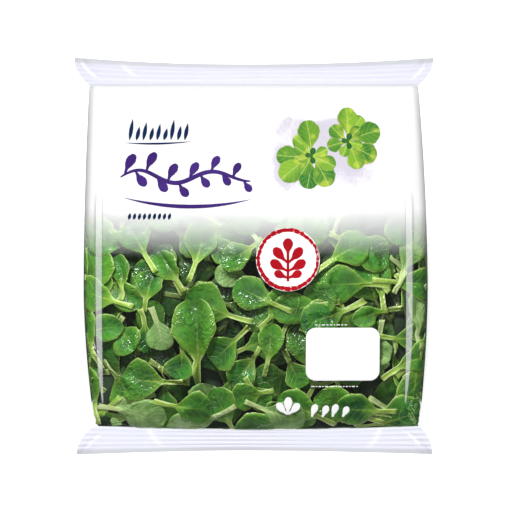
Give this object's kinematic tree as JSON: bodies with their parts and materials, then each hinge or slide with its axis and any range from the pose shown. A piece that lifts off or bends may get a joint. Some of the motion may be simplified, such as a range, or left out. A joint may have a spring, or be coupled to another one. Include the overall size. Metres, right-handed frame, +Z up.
{
  "type": "bag of salad leaves",
  "caption": "Sealed clear film pillow bag of loose lamb's lettuce leaves, with a white printed top, ribbed end seals, a back fin seal and a round front label.",
  "frame": {"origin": "on the surface that the bag lies on, under the middle of its outline", "axes": "+X across the bag to the right as its front is read, +Y towards the top seal, +Z up out of the printed front"},
  "size_m": [0.21, 0.232, 0.0513],
  "materials": {
    "clear_film": "clear glossy polypropylene film over green leaves, white print at the top",
    "salad_leaf": "moist green leaf with paler stalk and veins",
    "label_paper": "coated white paper with a rough red ring",
    "pack_ink": "printed ink under gloss film"
  },
  "bodies": {
    "root": {"salad_bag": "clear_film", "round_label": "label_paper"}
  },
  "joints": []
}
